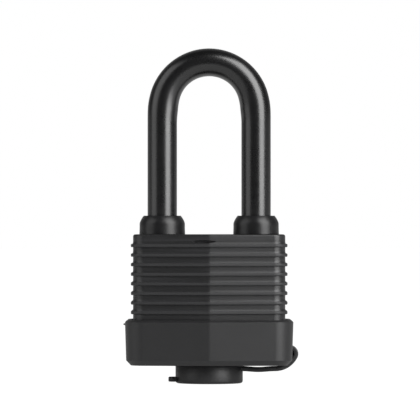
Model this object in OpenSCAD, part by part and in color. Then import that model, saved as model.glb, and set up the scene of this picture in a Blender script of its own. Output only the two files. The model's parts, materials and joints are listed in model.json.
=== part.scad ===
// Weatherproof laminated padlock: a riveted stack of steel plates with a pin cylinder and two
// sliding bolts, inside a ribbed jacket, a base cover, two shackle seals and a keyway cap.
// Millimetres. The origin is the centre of the cap's underside, +Z is up, the front is at -Y.
// It is drawn with the shackle down and the plug turned to its open position.

/* [Shackle] */
// Diameter of the shackle rod
shackle_d = 7.1; // [6.5:0.1:7.6]
// Height of the crown's inner side above the jacket
shackle_clearance = 37.9; // [25:0.5:70]
// Length of the toe below its notch
toe_tip = 2.3; // [1.6:0.1:2.6]
// Depth of the toe's lead-in ramp
toe_ramp = 1.2; // [0.6:0.1:1.6]
// Chamfer round the toe's end
toe_edge = 0.5; // [0.3:0.05:0.8]

/* [Steel plates] */
// Steel between the cylinder's hole and each leg hole
leg_web = 1.47; // [1.2:0.01:1.8]
// Steel between each leg hole and the plate's end
leg_rim = 1.32; // [1:0.01:1.6]
// Steel behind the pin housing's slot
housing_rim = 0.75; // [0.6:0.05:1.2]
// Thickness of one plate
plate_t = 2.37; // [2.2:0.01:2.6]
// Corner radius of every plate
plate_corner_r = 3.6; // [2.5:0.1:4.5]
// Diameter of the body rivets
rivet_d = 2.4; // [1.8:0.1:2.8]
// Diameter of the rivet heads
rivet_head_d = 3.5; // [3.2:0.1:3.9]
// Depth of the rivet heads in the end plates
rivet_head_h = 0.7; // [0.4:0.1:1.2]
// Distance of the rivets from the plates' ends
rivet_inset_x = 3; // [2.6:0.1:3.4]
// Distance of the rivets from the plates' front and back
rivet_inset_y = 2.6; // [2.4:0.1:2.9]

/* [Jacket] */
// Thickness of the jacket's two ends
jacket_wall = 1.9; // [1.6:0.05:2.4]
// Thickness of the jacket at its centre ridge
jacket_ridge = 2.6; // [2.2:0.1:3.2]
// Slope of each front facet away from the ridge, in degrees
facet_angle = 7; // [4:0.5:8]
// Corner radius of the jacket
jacket_corner_r = 3.2; // [2.5:0.1:5]
// Thickness of the jacket over the top plate
jacket_top_t = 1.55; // [1.3:0.05:2.5]
// Rounding of the jacket's top edge
jacket_edge = 0.5; // [0.2:0.1:0.9]
// Number of ribs round the jacket
rib_count = 8; // [4:1:8]
// Height of one rib
rib_h = 0.8; // [0.6:0.1:1.4]
// How far a rib stands proud
rib_proud = 0.53; // [0.2:0.01:0.8]
// Distance from the jacket's top to the middle of the first rib
rib_start = 2.69; // [2.2:0.01:3]
// Distance from the base cover's top to the middle of the last rib
rib_foot = 1.8; // [1:0.01:2.2]

/* [Base cover] */
// How far the base cover stands out past the jacket
base_cover_wall = 1.95; // [1.6:0.05:2.4]
// Height of the base cover
base_cover_h = 10.9; // [10:0.1:12]
// Thickness of the base cover's floor
base_floor_t = 1.4; // [1:0.1:2]
// Width of the flat lip round the base cover's top
base_lip = 1.25; // [0.15:0.05:1.4]
// Height of the sloped shoulder
shoulder_h = 0.5; // [0.3:0.05:2]
// Width of the chamfer under the base cover
base_chamfer_w = 1.45; // [0.8:0.05:2]
// Height of the chamfer under the base cover
base_chamfer_h = 1.2; // [0.6:0.05:1.8]
// Distance between the shell's nose and the spigot's bore
keyway_margin = 0.4; // [0.2:0.05:0.6]
// Wall of the spigot at its root
spigot_wall = 0.85; // [0.7:0.05:1.1]
// Taper of the spigot's outside, on the radius
spigot_taper = 0.2; // [0.1:0.05:0.3]

/* [Keyway cap] */
// Space between the spigot and the cap's skirt
cap_fit = 0.35; // [0.15:0.05:0.6]
// Height of the cap
cap_h = 4.35; // [4.3:0.05:5.5]
// Thickness of the cap's skirt
cap_wall = 1.25; // [0.9:0.05:1.3]
// Thickness of the cap's floor
cap_floor = 1.3; // [0.8:0.1:1.35]
// Rounding of the cap's lower edge
cap_edge = 0.65; // [0.3:0.05:1]
// Chamfer round the cap's rim
cap_rim_edge = 0.22; // [0.1:0.02:0.4]
// How far the pull tab stands out
tab_length = 1.7; // [1:0.05:3.5]
// Width of the pull tab
tab_w = 5.2; // [3.4:0.1:8]
// Corner radius of the pull tab
tab_corner_r = 1.5; // [0.5:0.1:1.6]
// Thickness of the pull tab
tab_t = 1.15; // [0.8:0.05:1.5]
// Height of the pull tab's underside
tab_z = 0.44; // [0.2:0.02:1]

/* [Strap] */
// Thickness of the strap
strap_t = 1.1; // [0.8:0.05:1.2]
// Width of the strap
strap_w = 5; // [3:0.1:8]
// Gap between the strap's level run and the base cover
strap_drop = 0.45; // [0.3:0.05:0.6]
// Height above the base cover's underside at which the strap enters it
strap_entry = 4.25; // [3.8:0.05:5]
// Radius of the strap's upper turn
strap_turn_r = 1.6; // [1.2:0.05:1.8]
// Gap between the strap's turn and the base cover's end
strap_clear = 0.2; // [0.1:0.05:0.4]
// Distance from the base cover's end at which the strap starts to bend up
strap_bend_inset = 4.25; // [3.2:0.05:5.2]
// Gap between the cap's skirt and the strap's hinge
hinge_gap = 0.25; // [0.2:0.05:0.4]
// Thickness of the strap's anchor head
anchor_t = 0.8; // [0.5:0.05:0.9]
// Amount by which the anchor head stands past the strap on each side
anchor_lip = 0.7; // [0.4:0.05:1.2]

/* [Seals] */
// Wall of the rubber shackle seals
seal_wall = 1.85; // [1.6:0.05:2.4]
// Height of the seals above the jacket
seal_h = 4.5; // [3:0.1:6]
// How much narrower the seal is at its foot, on the radius
seal_foot = 0.15; // [0:0.05:0.4]
// Height of the seal's tapered foot
seal_foot_h = 1.35; // [0.5:0.05:2]
// Width of the rounded shoulder round the seal's top
seal_shoulder_w = 1; // [0.4:0.1:1.2]
// Height of the rounded shoulder
seal_shoulder_h = 2; // [1:0.1:2.6]
// Fullness of the shoulder's curve
seal_fullness = 1.5; // [1:0.1:2]
// Wall of the seal's neck in the jacket
seal_neck_wall = 0.97; // [0.8:0.01:1.3]
// How far the seal's flange stands out under the jacket
seal_flange_lip = 1; // [0.6:0.1:1.2]
// Thickness of the seal's flange
seal_flange_t = 0.75; // [0.4:0.05:0.9]

/* [Cylinder] */
// Diameter of the plug
plug_d = 7.8; // [7.4:0.1:8.2]
// How far the plug's head stands out past the plug
plug_lip = 0.7; // [0.4:0.05:0.9]
// Height of the plug's head
plug_head_h = 1.45; // [1:0.05:1.6]
// How far the plug's face is set back in the shell
plug_recess = 0.25; // [0.1:0.05:0.5]
// Wall of the cylinder shell
shell_wall = 2.25; // [1.9:0.05:2.6]
// Wall of the shell's nose in the bottom plate
nose_wall = 0.65; // [0.5:0.05:0.9]
// Wall of the pin housing beside the chamber strip
housing_wall = 0.75; // [0.5:0.05:1.1]
// Diameter of the pins
pin_d = 2.5; // [2:0.1:2.6]
// Number of pin stacks
pin_count = 5; // [3:1:5]
// Brass between two pin chambers
pin_wall = 0.3; // [0.2:0.05:0.5]
// Lengths of the key pins, from the front pin on
key_pin_lengths = [2.6, 3.2, 2.2, 3.0, 2.4];
// Height of the point on each key pin
pin_point = 0.6; // [0.3:0.05:0.8]
// Length of the driver pins
driver_length = 1.8; // [1.4:0.1:2]
// Length of the pin springs
pin_spring_length = 1.93; // [1.6:0.01:2.4]
// Thickness of the strip that closes the pin chambers
strip_t = 0.42; // [0.3:0.02:0.5]
// How far the strip laps the pin chambers on each side
strip_lap = 0.1; // [0.05:0.05:0.3]
// Width of the keyway
keyway_w = 1.4; // [1.2:0.1:1.8]
// Distance from the plug's axis to the keyway's upper end
keyway_reach = 1.95; // [1.6:0.05:2.2]
// Distance below the plug's axis at which the keyway steps aside
keyway_ward = 1.3; // [1:0.05:1.8]
// Solid end of the plug above the keyway
keyway_end = 1.4; // [1:0.1:2]
// Side step of the keyway's upper half
keyway_step = 0.45; // [0.2:0.05:0.6]
// Diameter of the plug's tail
tail_d = 4.6; // [4.2:0.1:4.8]
// Width across the flats of the tail's square end
tail_square = 2.5; // [2.2:0.1:2.7]

/* [Bolts and cam] */
// Travel of each bolt
bolt_throw = 1.8; // [1.4:0.05:1.9]
// Width of a bolt's nose
bolt_w = 5; // [4:0.1:5.2]
// Least width of the cam past its square hole's corners
cam_rim = 0.06; // [0.04:0.01:0.12]
// Thickness of a bolt's tab and yoke
tab_wall = 1.25; // [1:0.05:1.3]
// Width of a bolt's arm
arm_w = 1.9; // [1.5:0.05:2]
// Reach of the heel bolt in the heel leg when it is withdrawn
heel_hold = 0.6; // [0.4:0.05:0.8]
// Distance of the toe bolt from the toe leg when it is withdrawn
toe_stand = 0.2; // [0.1:0.05:0.3]
// Diameter of the cam screw's head
screw_head_d = 3.8; // [3:0.1:4]
// Height of the cam screw's head
screw_head_h = 0.9; // [0.6:0.05:1.4]
// Diameter of the cam screw's thread
screw_d = 1.3; // [1:0.1:1.5]

/* [Springs] */
// Wire of the shackle spring
shackle_spring_wire = 0.7; // [0.5:0.05:0.9]
// Turns of the shackle spring
shackle_spring_turns = 8; // [5:1:10]
// Wire of the pin springs and bolt springs
small_spring_wire = 0.28; // [0.2:0.02:0.34]
// Turns of the small springs
small_spring_turns = 4; // [3:1:5]
// Free space beyond each bolt's arm for its spring
bolt_spring_room = 4.1; // [3.2:0.1:4.3]

/* [Fits] */
// Radial clearance of the shackle legs
leg_clearance = 0.08; // [0.03:0.01:0.1]
// Radial clearance of the plug, its tail and the pins
plug_clearance = 0.05; // [0.02:0.01:0.1]
// Gap between a sliding bolt or the cam and the plates above and below
slide_gap = 0.06; // [0.03:0.01:0.1]
// Gap between a bolt and its pocket walls
pocket_gap = 0.1; // [0.05:0.01:0.2]
// Gap above and below a bolt in its notch in a leg
notch_gap = 0.1; // [0.05:0.01:0.2]
// Gap beyond a thrown bolt's tip in its notch
notch_end_gap = 0.2; // [0.1:0.05:0.3]
// Gap between still pieces that are pushed together
seat_gap = 0.05; // [0.02:0.01:0.08]
// Gap between the jacket and the plates inside it
jacket_fit = 0.1; // [0.05:0.01:0.15]
// Gap round the strap in its groove
groove_gap = 0.1; // [0.05:0.01:0.2]
// Gap between the closed cap and the base cover
cap_gap = 0.15; // [0.1:0.01:0.2]
// Gap between a moving edge and the piece it passes
running_gap = 0.3; // [0.2:0.01:0.35]

/* [Hidden] */
$fn = 64;
past = 0.5;

plate_count = 12;
first_level = 2;
cylinder_plate_count = plate_count - 5;
bolt_level = plate_count - 2;
divider_level = bolt_level - 1;
guide_level = bolt_level + 1;

base_z = cap_h + cap_gap;
base_top = base_z + base_cover_h;
stack_z = base_z + base_floor_t + seat_gap;
stack_top = plate_z(plate_count + 1);
jacket_top = stack_top + seat_gap + jacket_top_t;
seal_top = jacket_top + seal_h;
rib_pitch = (jacket_top - rib_start - base_top - rib_foot) / (rib_count - 1);

plug_r = plug_d / 2;
plug_head_r = plug_r + plug_lip;
shell_r = plug_r + plug_clearance + shell_wall;
shell_nose_r = plug_head_r + plug_clearance + nose_wall;
shell_pocket_r = shell_r + seat_gap;
shell_z = plate_z(first_level) + seat_gap;
shell_top = plate_z(divider_level) - seat_gap;
plug_z = stack_z + plug_recess;

pin_r = pin_d / 2;
chamber_r = pin_r + plug_clearance;
pin_pitch = 2 * chamber_r + pin_wall;
pin_z0 = (shell_z + shell_top - (pin_count - 1) * pin_pitch) / 2;
driver_y = plug_r + 2 * plug_clearance;
spring_y = driver_y + driver_length + seat_gap / 2;
strip_y = spring_y + pin_spring_length + seat_gap / 2;
strip_half = chamber_r + strip_lap;
housing_reach = strip_y + strip_t;
housing_half = strip_half + seat_gap + housing_wall;

leg_r = shackle_d / 2;
leg_hole_r = leg_r + leg_clearance;
leg_x = shell_pocket_r + leg_web + leg_hole_r;
leg_edge = leg_x - leg_r;
arch_z = jacket_top + shackle_clearance - leg_edge;

plate_w = 2 * (leg_x + leg_hole_r + leg_rim);
plate_d = 2 * (housing_reach + seat_gap + housing_rim);
rivet_x = plate_w / 2 - rivet_inset_x;
rivet_y = plate_d / 2 - rivet_inset_y;
jacket_w = plate_w + 2 * (jacket_fit + jacket_wall);
jacket_d = plate_d + 2 * (jacket_fit + jacket_ridge);
base_cover_w = jacket_w + 2 * base_cover_wall;
shoulder_w = base_cover_wall - base_lip;

seal_r = leg_hole_r + seal_wall;
seal_neck_r = leg_hole_r + seal_neck_wall;
seal_flange_r = seal_neck_r + seal_flange_lip;
seal_z = jacket_top + seat_gap / 2;

bolt_z = plate_z(bolt_level) + slide_gap;
bolt_h = plate_t - 2 * slide_gap;
notch_z = bolt_z - notch_gap;
notch_h = bolt_h + 2 * notch_gap;
toe_z = notch_z - toe_tip;
lift = seal_top + running_gap - toe_z;
heel_z = plate_z(first_level) + running_gap;
neck_z = notch_z - lift;
heel_tip_x = leg_edge + heel_hold;
toe_tip_x = leg_edge - toe_stand;
heel_flat_x = heel_tip_x + running_gap;
heel_notch_x = heel_tip_x + bolt_throw + notch_end_gap;
toe_notch_x = toe_tip_x + bolt_throw + notch_end_gap;

cam_hole = tail_square / 2 + seat_gap;
cam_reach = norm([cam_hole, cam_hole]) + cam_rim;
cam_slope = bolt_throw / 90;
cam_lead = cam_slope * 180 / PI;
cam_long = cam_reach + bolt_throw;
cam_sweep = norm([cam_lead, cam_long]);
tab_x = cam_long + seat_gap;
tab_end_x = tab_x + tab_wall;
yoke_x = tab_end_x + pocket_gap;
yoke_end_x = yoke_x + tab_wall;
arm_y = cam_sweep + pocket_gap;
arm_end_y = arm_y + arm_w;
arm_mid_y = arm_y + arm_w / 2;
spring_wall_x = tab_end_x + bolt_spring_room;

spigot_bore_r = shell_nose_r + keyway_margin;
spigot_r = spigot_bore_r + spigot_wall;
spigot_z = cap_floor + running_gap;
cap_inner_r = spigot_r + cap_fit;
cap_r = cap_inner_r + cap_wall;
tab_x0 = cap_r + tab_length;

hinge_r = strap_t / 2;
hinge_x = cap_r + hinge_gap + hinge_r;
strap_z = base_z - strap_drop - hinge_r;
strap_entry_z = base_z + strap_entry;
strap_bend_x = base_cover_w / 2 - strap_bend_inset;
turn_x = base_cover_w / 2 + strap_clear + hinge_r - strap_turn_r;
turn_z = strap_entry_z - strap_turn_r;
turn_rise = turn_z - strap_z;
turn_run = turn_x - strap_bend_x;
bend_r = (turn_run * turn_run + turn_rise * turn_rise - strap_turn_r * strap_turn_r)
    / (2 * (turn_rise - strap_turn_r));
bend_end = atan2(turn_rise - bend_r, turn_run);
anchor_x = jacket_w / 2 + groove_gap;

cylinder_plates = [for (i = [1:cylinder_plate_count]) str("cylinder_plate_", i)];

function plate_z(k) = stack_z + (k - 1) * plate_t;

function arc(cx, cy, r, from, to, steps) =
    [for (i = [0:steps]) let (a = from + (to - from) * i / steps) [cx + r * cos(a), cy + r * sin(a)]];

function reversed(list) = [for (i = [len(list) - 1:-1:0]) list[i]];

// Outline of the jacket grown by a distance: two shallow facets on the front and the back, which
// meet at a centre ridge, and rounded corners into flat ends.
function shell_outline(grow) =
    let (
        x = jacket_w / 2 + grow,
        y = jacket_d / 2 + grow / cos(facet_angle),
        r = jacket_corner_r + grow,
        cx = x - r,
        cy = y - (cx * sin(facet_angle) + r) / cos(facet_angle)
    )
    concat(
        [[0, -y]],
        arc(cx, -cy, r, facet_angle - 90, 0, 7),
        arc(cx, cy, r, 0, 90 - facet_angle, 7),
        [[0, y]],
        arc(-cx, cy, r, 90 + facet_angle, 180, 7),
        arc(-cx, -cy, r, 180, 270 - facet_angle, 7)
    );

function plate_outline(grow) =
    let (
        r = plate_corner_r + grow,
        cx = plate_w / 2 - plate_corner_r,
        cy = plate_d / 2 - plate_corner_r
    )
    concat(
        arc(cx, -cy, r, -90, 0, 6),
        arc(cx, cy, r, 0, 90, 6),
        arc(-cx, cy, r, 90, 180, 6),
        arc(-cx, -cy, r, 180, 270, 6)
    );

// Support radius of the cam falls evenly with the angle, so the bolts move in step with the plug.
function cam_point(a) =
    let (h = cam_reach - cam_slope * a)
    [h * cos(a) + cam_lead * sin(a), h * sin(a) - cam_lead * cos(a)];

// One edge of the strap, at a distance outside its middle line.
function strap_edge(out, start, end) = concat(
    [[start, strap_z - out]],
    arc(strap_bend_x, strap_z + bend_r, bend_r + out, -90, bend_end, 8),
    arc(turn_x, turn_z, strap_turn_r + out, bend_end, 90, 8),
    [[end, strap_entry_z + out]]
);

module prism(points, z, h) {
    translate([0, 0, z]) linear_extrude(h) polygon(points);
}

module block(x0, x1, y0, y1, z0, z1) {
    translate([x0, y0, z0]) cube([x1 - x0, y1 - y0, z1 - z0]);
}

module post(x, y, z, r, h) {
    translate([x, y, z]) cylinder(r = r, h = h);
}

// A cylinder along +Y from the plug's axis, at one height.
module across(y, z, r, length) {
    translate([0, y, z]) rotate([-90, 0, 0]) cylinder(r = r, h = length);
}

// A solid through jacket outlines: each section is [height, growth].
module loft(sections) {
    rings = [for (s = sections) [for (p = shell_outline(s[1])) [p[0], p[1], s[0]]]];
    n = len(rings[0]);
    last = (len(rings) - 1) * n;
    sides = [
        for (i = [0:len(rings) - 2]) for (j = [0:n - 1])
            [i * n + j, (i + 1) * n + j, (i + 1) * n + (j + 1) % n, i * n + (j + 1) % n]
    ];
    ends = [[for (j = [0:n - 1]) j], [for (j = [n - 1:-1:0]) last + j]];
    polyhedron([for (r = rings) for (p = r) p], concat(sides, ends));
}

// A round-wire compression spring along +Z.
module coil(d, wire, length, turns, steps) {
    n = turns * steps;
    r = (d - wire) / 2;
    rings = [
        for (i = [0:n]) for (j = [0:5])
            let (a = 360 * i / steps, b = 60 * j, q = r + wire / 2 * cos(b))
            [q * cos(a), q * sin(a), wire / 2 * (1 + sin(b)) + (length - wire) * i / n]
    ];
    sides = [
        for (i = [0:n - 1]) for (j = [0:5]) for (half = [0, 1])
            let (a = i * 6 + j, b = i * 6 + (j + 1) % 6)
            half == 0 ? [a, b, b + 6] : [a, b + 6, a + 6]
    ];
    ends = [[for (j = [5:-1:0]) j], [for (j = [0:5]) n * 6 + j]];
    polyhedron(rings, concat(ends, sides));
}

module both_legs() {
    for (side = [-1, 1]) translate([side * leg_x, 0, 0]) children();
}

module at_rivets() {
    for (sx = [-1, 1]) for (sy = [-1, 1]) translate([sx * rivet_x, sy * rivet_y, 0]) children();
}

module jacket() {
    color("#2b2b2d") difference() {
        union() {
            prism(shell_outline(0), stack_z, jacket_top - jacket_edge - stack_z);
            loft([[jacket_top - jacket_edge, 0], [jacket_top, -jacket_edge]]);
            for (i = [0:rib_count - 1]) {
                prism(shell_outline(rib_proud), jacket_top - rib_start - i * rib_pitch - rib_h / 2, rib_h);
            }
        }
        prism(plate_outline(jacket_fit), stack_z - past, stack_top + seat_gap - stack_z + past);
        both_legs() post(0, 0, stack_top, seal_neck_r + seat_gap, jacket_top_t + past);
        both_legs() post(0, 0, stack_top, seal_flange_r + seat_gap, seal_flange_t + 2 * seat_gap);
    }
}

module strap_shape(width, grow, start, end) {
    translate([0, width / 2 + grow, 0]) rotate([90, 0, 0]) linear_extrude(width + 2 * grow)
        polygon(concat(
            strap_edge(strap_t / 2 + grow, start, end),
            reversed(strap_edge(-strap_t / 2 - grow, start, end))
        ));
}

module anchor_shape(grow) {
    reach = strap_w / 2 + anchor_lip + grow;
    rise = strap_t / 2 + anchor_lip + grow;
    block(anchor_x - grow, anchor_x + anchor_t + grow, -reach, reach,
        strap_entry_z - rise, strap_entry_z + rise);
}

module base_cover() {
    grow = base_cover_wall;
    color("#303032") difference() {
        union() {
            loft([
                [base_z, grow - base_chamfer_w],
                [base_z + base_chamfer_h, grow],
                [base_top - shoulder_h, grow],
                [base_top, grow - shoulder_w]
            ]);
            translate([0, 0, spigot_z])
                cylinder(r1 = spigot_r - spigot_taper, r2 = spigot_r, h = base_z - spigot_z);
            post(0, 0, base_z - seat_gap, spigot_r, base_floor_t);
        }
        prism(shell_outline(seat_gap), base_z + base_floor_t, base_cover_h);
        post(0, 0, spigot_z - past, spigot_bore_r, base_cover_h);
        strap_shape(strap_w, groove_gap, hinge_x, anchor_x);
        anchor_shape(seat_gap);
    }
}

module shackle_seal(side) {
    foot_z = stack_top + seat_gap;
    flange_z = foot_z + seal_flange_t;
    steps = 6;
    shoulder = [
        for (i = [0:steps])
            [seal_r - seal_shoulder_w * pow(i / steps, seal_fullness), seal_top - seal_shoulder_h * (1 - i / steps)]
    ];
    color("#222223") translate([side * leg_x, 0, 0]) rotate_extrude() polygon(concat(
        [[leg_hole_r, foot_z], [seal_flange_r, foot_z], [seal_flange_r, flange_z]],
        [[seal_neck_r, flange_z], [seal_neck_r, seal_z]],
        [[seal_r - seal_foot, seal_z], [seal_r, seal_z + seal_foot_h]],
        shoulder,
        [[leg_hole_r, seal_top]]
    ));
}

module pull_tab() {
    side = tab_w / 2;
    corner_x = tab_x0 - tab_corner_r;
    corner_y = side - tab_corner_r;
    block(-corner_x, 0, -side, side, tab_z, tab_z + tab_t);
    block(-tab_x0, 0, -corner_y, corner_y, tab_z, tab_z + tab_t);
    for (y = [-corner_y, corner_y]) post(-corner_x, y, tab_z, tab_corner_r, tab_t);
}

module keyway_cap() {
    color("#2a2a2b") {
        difference() {
            union() {
                rotate_extrude() polygon(concat(
                    [[0, 0]],
                    arc(cap_r - cap_edge, cap_edge, cap_edge, -90, 0, 5),
                    [[cap_r, cap_h - cap_rim_edge], [cap_r - cap_rim_edge, cap_h], [0, cap_h]]
                ));
                pull_tab();
                block(0, hinge_x, -strap_w / 2, strap_w / 2, strap_z - hinge_r, strap_z + hinge_r);
                translate([hinge_x, strap_w / 2, strap_z]) rotate([90, 0, 0])
                    cylinder(r = hinge_r, h = strap_w);
            }
            post(0, 0, cap_floor, cap_inner_r, cap_h);
        }
    }
}

module cap_strap() {
    color("#2a2a2b") {
        strap_shape(strap_w, 0, hinge_x + hinge_r + running_gap, anchor_x);
        anchor_shape(0);
    }
}

module shackle() {
    reach = leg_r + past;
    color("#1b1b1c") difference() {
        union() {
            post(-leg_x, 0, heel_z, leg_r, arch_z - heel_z);
            post(leg_x, 0, toe_z + toe_edge, leg_r, arch_z - toe_z - toe_edge);
            translate([leg_x, 0, toe_z]) cylinder(r1 = leg_r - toe_edge, r2 = leg_r, h = toe_edge);
            translate([0, 0, arch_z]) rotate([90, 0, 0]) rotate_extrude(angle = 180)
                translate([leg_x, 0]) circle(r = leg_r);
        }
        for (z = [notch_z, neck_z]) block(-heel_notch_x, 0, -reach, reach, z, z + notch_h);
        block(-heel_flat_x, 0, -reach, reach, neck_z + notch_h / 2, notch_z + notch_h / 2);
        difference() {
            post(-leg_x, 0, neck_z, reach, notch_h);
            post(-leg_x, 0, neck_z - past, leg_x - heel_flat_x, notch_h + 2 * past);
        }
        block(0, toe_notch_x, -reach, reach, notch_z, notch_z + notch_h);
        translate([leg_edge + toe_ramp, 0, toe_z]) rotate([0, -45, 0])
            block(-2 * reach, 0, -reach, reach, -reach, 0);
    }
}

module shackle_spring() {
    foot_z = plate_z(first_level) + seat_gap;
    color("#b9bcc0") translate([leg_x, 0, foot_z])
        coil(shackle_d - running_gap, shackle_spring_wire, toe_z - foot_z - seat_gap,
            shackle_spring_turns, 12);
}

module body_rivets() {
    color("#c4c6c8") at_rivets() {
        post(0, 0, stack_z, rivet_d / 2, stack_top - stack_z);
        post(0, 0, stack_z, rivet_head_d / 2, rivet_head_h);
        post(0, 0, stack_top - rivet_head_h, rivet_head_d / 2, rivet_head_h);
    }
}

module plate(k) {
    color("#8d9196") difference() {
        prism(plate_outline(0), plate_z(k), plate_t);
        at_rivets() post(0, 0, plate_z(k) - past, rivet_d / 2 + seat_gap, plate_t + 2 * past);
        children();
    }
}

module leg_holes(k) {
    both_legs() post(0, 0, plate_z(k) - past, leg_hole_r, plate_t + 2 * past);
}

module bottom_plate() {
    plate(1) {
        post(0, 0, stack_z - past, shell_nose_r + seat_gap, plate_t + 2 * past);
        at_rivets() post(0, 0, stack_z - past, rivet_head_d / 2 + seat_gap, rivet_head_h + past);
    }
}

module cylinder_plate(k) {
    half = housing_half + seat_gap;
    plate(k) {
        leg_holes(k);
        post(0, 0, plate_z(k) - past, shell_pocket_r, plate_t + 2 * past);
        block(-half, half, 0, housing_reach + seat_gap, plate_z(k) - past, plate_z(k) + plate_t + past);
    }
}

module divider_plate() {
    k = divider_level;
    plate(k) {
        leg_holes(k);
        post(0, 0, plate_z(k) - past, tail_d / 2 + plug_clearance, plate_t + 2 * past);
    }
}

module bolt_plate() {
    z0 = plate_z(bolt_level) - past;
    z1 = z0 + plate_t + 2 * past;
    half = yoke_end_x + bolt_throw + pocket_gap;
    side = arm_end_y + pocket_gap;
    nose = bolt_w / 2 + pocket_gap;
    plate(bolt_level) {
        leg_holes(bolt_level);
        block(-half, half, -side, side, z0, z1);
        block(-heel_tip_x - bolt_throw - pocket_gap, toe_tip_x + bolt_throw + pocket_gap,
            -nose, nose, z0, z1);
        block(0, spring_wall_x, arm_y - pocket_gap, side, z0, z1);
        block(-spring_wall_x, 0, -side, -arm_y + pocket_gap, z0, z1);
    }
}

module guide_plate() {
    k = guide_level;
    plate(k) {
        leg_holes(k);
        post(0, 0, plate_z(k) - past, screw_head_d / 2 + running_gap, plate_t + 2 * past);
    }
}

module top_plate() {
    plate(plate_count) {
        leg_holes(plate_count);
        at_rivets() post(0, 0, stack_top - rivet_head_h, rivet_head_d / 2 + seat_gap, rivet_head_h + past);
    }
}

module at_pins() {
    for (i = [0:pin_count - 1]) translate([0, 0, pin_z0 + i * pin_pitch]) children();
}

module cylinder_shell() {
    slot_half = strip_half + seat_gap;
    color("#c2a25a") difference() {
        union() {
            post(0, 0, stack_z, shell_nose_r, shell_z - stack_z);
            post(0, 0, shell_z, shell_r, shell_top - shell_z);
            block(-housing_half, housing_half, 0, housing_reach, shell_z, shell_top);
        }
        post(0, 0, stack_z - past, plug_r + plug_clearance, shell_top - stack_z + 2 * past);
        post(0, 0, stack_z - past, plug_head_r + plug_clearance,
            plug_z + plug_head_h + seat_gap - stack_z + past);
        at_pins() across(0, 0, chamber_r, housing_reach);
        block(-slot_half, slot_half, strip_y - seat_gap / 2, housing_reach + past,
            shell_z - past, shell_top + past);
    }
}

// The plug is drawn with its pins towards +Y, where the key goes in, and turned to its open position.
module cylinder_plug() {
    tail_z = bolt_z + bolt_h;
    keyway_z = shell_top - keyway_end;
    half = keyway_w / 2;
    shift = keyway_step / 2;
    color("#cdb06a") rotate([0, 0, 90]) difference() {
        union() {
            post(0, 0, plug_z, plug_head_r, plug_head_h);
            post(0, 0, plug_z, plug_r, shell_top - plug_z);
            post(0, 0, shell_top, tail_d / 2, bolt_z - shell_top);
            block(-tail_square / 2, tail_square / 2, -tail_square / 2, tail_square / 2, bolt_z, tail_z);
        }
        at_pins() across(0, 0, chamber_r, plug_r + past);
        block(-half - shift, half - shift, -plug_head_r - past, -keyway_ward, plug_z - past, keyway_z);
        block(-half + shift, half + shift, -keyway_ward - keyway_step, keyway_reach,
            plug_z - past, keyway_z);
        post(0, 0, shell_top, screw_d / 2 + plug_clearance, tail_z);
    }
}

// Each key pin ends flush with the plug's round surface, and has a cone towards the key.
module key_pins() {
    color("#d0b877") rotate([0, 0, 90]) intersection() {
        for (i = [0:pin_count - 1]) {
            length = key_pin_lengths[i];
            translate([0, plug_r - length, pin_z0 + i * pin_pitch]) rotate([-90, 0, 0]) {
                translate([0, 0, pin_point]) cylinder(r = pin_r, h = length - pin_point);
                cylinder(r1 = pin_r - pin_point, r2 = pin_r, h = pin_point);
            }
        }
        post(0, 0, shell_z, plug_r, shell_top - shell_z);
    }
}

module driver_pins() {
    color("#b4b7ba") at_pins() across(driver_y, 0, pin_r, driver_length);
}

module pin_springs() {
    color("#b9bcc0") at_pins() translate([0, spring_y, 0]) rotate([-90, 0, 0])
        coil(pin_d - pocket_gap, small_spring_wire, pin_spring_length, small_spring_turns, 10);
}

module chamber_strip() {
    color("#b79850") block(-strip_half, strip_half, strip_y, housing_reach,
        shell_z + seat_gap, shell_top - seat_gap);
}

// The cam's long reach lies along X when the plug is open.
module cam() {
    half = [for (i = [0:9]) cam_point(-90 + 10 * i)];
    color("#9ea2a6") difference() {
        rotate([0, 0, 90]) prism(concat(half, -half), bolt_z, bolt_h);
        block(-cam_hole, cam_hole, -cam_hole, cam_hole, bolt_z - past, bolt_z + bolt_h + past);
    }
}

module cam_screw() {
    head_z = bolt_z + bolt_h + seat_gap / 2;
    color("#b4b7ba") difference() {
        union() {
            post(0, 0, head_z, screw_head_d / 2, screw_head_h);
            post(0, 0, shell_top + seat_gap, screw_d / 2, head_z - shell_top);
        }
        block(-screw_head_d, screw_head_d, -screw_d / 4, screw_d / 4,
            head_z + screw_head_h / 2, head_z + screw_head_h + past);
    }
}

// A hook-shaped bolt: a nose for the leg, a yoke, an arm past the cam and a tab on its far side.
module locking_bolt(tip_x) {
    nose = bolt_w / 2;
    z1 = bolt_z + bolt_h;
    color("#a3a7ab") {
        block(-tip_x, -yoke_end_x, -nose, nose, bolt_z, z1);
        block(-yoke_end_x, -yoke_x, -nose, arm_end_y, bolt_z, z1);
        block(-yoke_end_x, tab_end_x, arm_y, arm_end_y, bolt_z, z1);
        block(tab_x, tab_end_x, -nose, arm_end_y, bolt_z, z1);
    }
}

module locking_bolt_left() {
    locking_bolt(heel_tip_x);
}

module locking_bolt_right() {
    rotate([0, 0, 180]) locking_bolt(toe_tip_x);
}

module bolt_spring(turn) {
    color("#b9bcc0") rotate([0, 0, turn]) translate([tab_end_x + seat_gap, arm_mid_y, bolt_z + bolt_h / 2])
        rotate([0, 90, 0]) coil(arm_w, small_spring_wire, bolt_spring_room - 2 * seat_gap,
            small_spring_turns, 10);
}

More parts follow.
